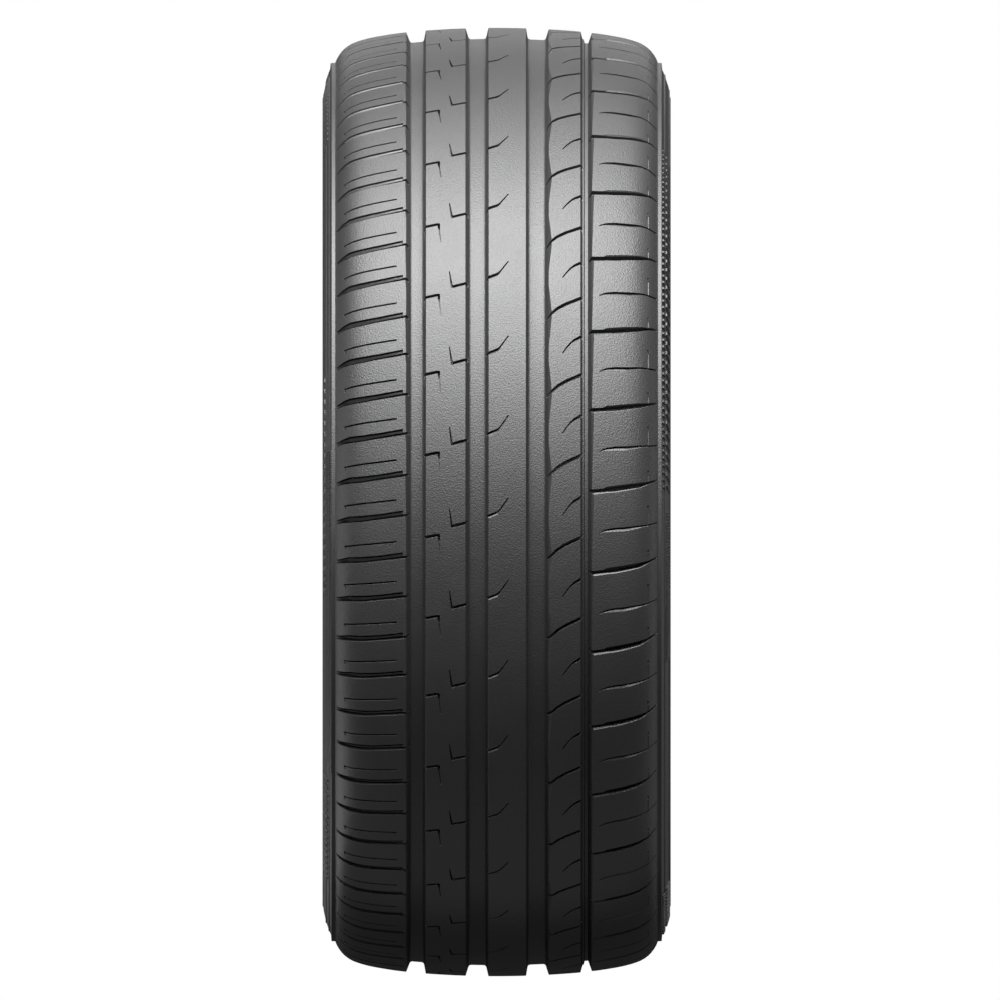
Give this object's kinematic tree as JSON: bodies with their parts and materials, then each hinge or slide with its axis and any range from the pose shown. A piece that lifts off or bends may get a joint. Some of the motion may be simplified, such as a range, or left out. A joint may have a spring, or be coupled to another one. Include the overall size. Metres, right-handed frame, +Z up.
{
  "type": "car tyre",
  "caption": "Radial road tyre for a passenger car: a hollow rubber ring with a grooved tread, rounded shoulders, bulged sidewalls and two beads that seat on a wheel rim.",
  "frame": {"origin": "the wheel's centre: on the axle line, midway between the two sidewalls", "axes": "+Y along the axle, about which the tyre spins, +Z up as it stands on the road, +X the way it rolls"},
  "size_m": [0.6432, 0.2362, 0.643],
  "materials": {
    "tyre": "matte"
  },
  "bodies": {
    "root": {"tyre": "tyre"}
  },
  "joints": []
}
